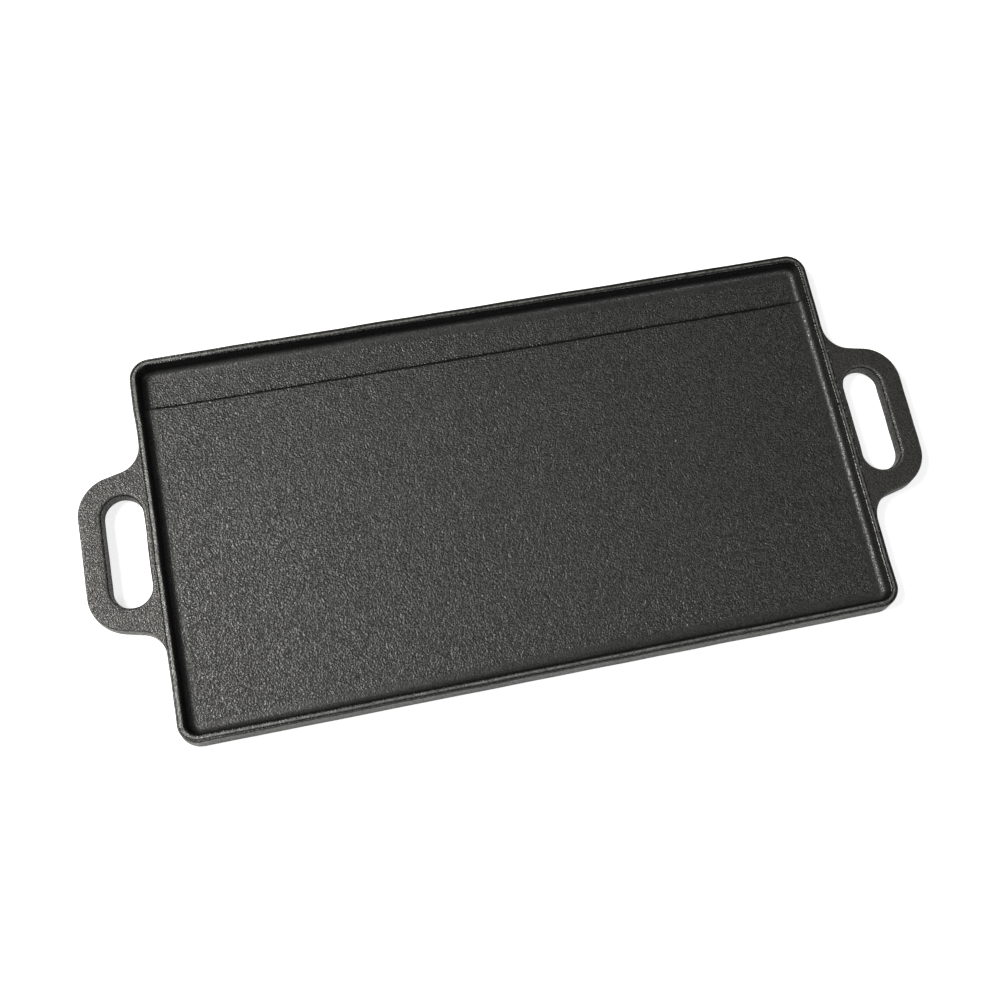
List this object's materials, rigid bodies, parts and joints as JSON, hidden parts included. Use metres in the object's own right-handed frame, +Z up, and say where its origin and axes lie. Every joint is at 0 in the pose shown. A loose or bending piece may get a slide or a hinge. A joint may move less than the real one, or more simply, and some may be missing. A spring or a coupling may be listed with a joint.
{
  "type": "camp griddle plate",
  "caption": "Rectangular cast iron camp griddle with a low rim, a grease trough along the back and a loop handle on each short side.",
  "frame": {"origin": "centre of the flat underside, the bottom centre of the bounding box", "axes": "+X along the plate from the left handle to the right handle, +Y from the front rim to the grease trough at the back, +Z up from the underside"},
  "size_m": [0.5082, 0.2344, 0.0135],
  "materials": {
    "cooking_iron": "seasoned black sand-cast surface with a fine pebbled grain and a satin sheen",
    "rim_iron": "seasoned black sand-cast iron, edges rubbed a little brighter",
    "handle_iron": "seasoned black sand-cast iron, handled smooth on its edges"
  },
  "bodies": {
    "root": {"cooking_plate": "cooking_iron", "grease_trough": "cooking_iron", "front_rim": "rim_iron", "back_rim": "rim_iron", "left_rim": "rim_iron", "right_rim": "rim_iron", "left_handle": "handle_iron", "right_handle": "handle_iron"}
  },
  "joints": []
}
